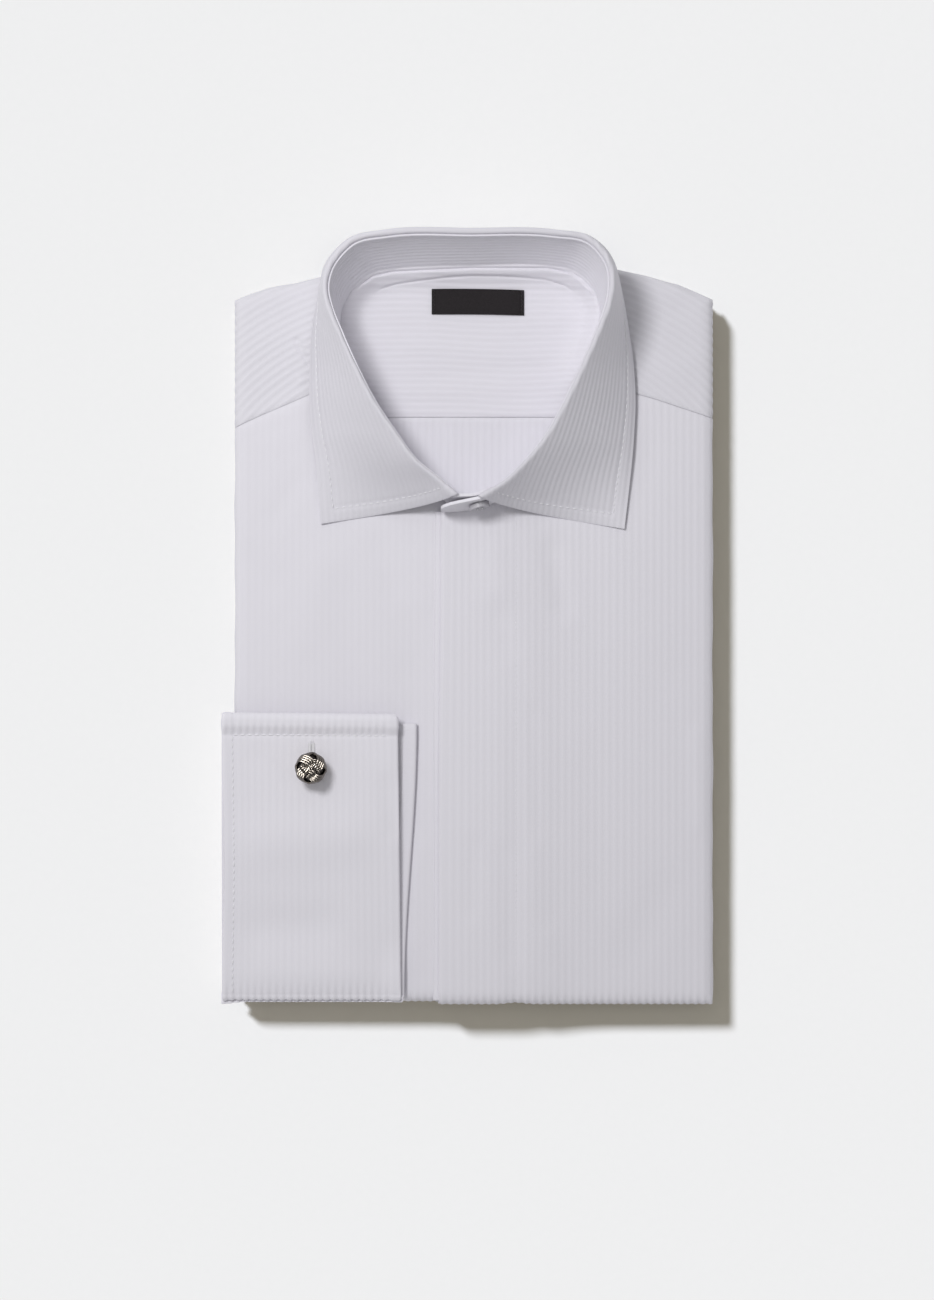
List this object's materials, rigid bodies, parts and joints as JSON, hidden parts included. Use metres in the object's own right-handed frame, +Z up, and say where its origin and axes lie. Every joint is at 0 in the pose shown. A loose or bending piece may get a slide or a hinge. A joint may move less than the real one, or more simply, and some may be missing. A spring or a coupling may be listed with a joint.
{
  "type": "folded dress shirt",
  "caption": "Long sleeve dress shirt folded flat on its back, with a spread collar, a fly front, and one double cuff laid on the front with a wire-knot cufflink",
  "frame": {"origin": "middle of the shirt's outline, on the surface that it lies on", "axes": "+Z up out of the front of the shirt, +Y to the collar, +X to the wearer's left"},
  "size_m": [0.2265, 0.3548, 0.0536],
  "materials": {
    "white_stripe_cotton": "white cotton with a tonal satin stripe",
    "white_cotton_inside": "white cotton, inside face",
    "white_cotton_folds": "white cotton, folded edges",
    "black_woven_label": "black woven tape, bare",
    "white_button": "white, slightly pearly",
    "silver_wire": "warm silver wire, soft polish"
  },
  "bodies": {
    "root": {"folded_layers": "white_cotton_folds", "back_panel": "white_cotton_inside", "yoke_inner": "white_cotton_inside", "yoke_outer": "white_stripe_cotton", "front_right": "white_stripe_cotton", "front_left": "white_stripe_cotton", "fly_placket": "white_stripe_cotton", "collar_stand": "white_stripe_cotton", "collar_leaf": "white_stripe_cotton", "collar_button": "white_button", "label": "black_woven_label", "cuff_right": "white_stripe_cotton", "sleeve_right": "white_stripe_cotton", "cufflink_knot": "silver_wire", "cufflink_bar": "silver_wire"}
  },
  "joints": []
}
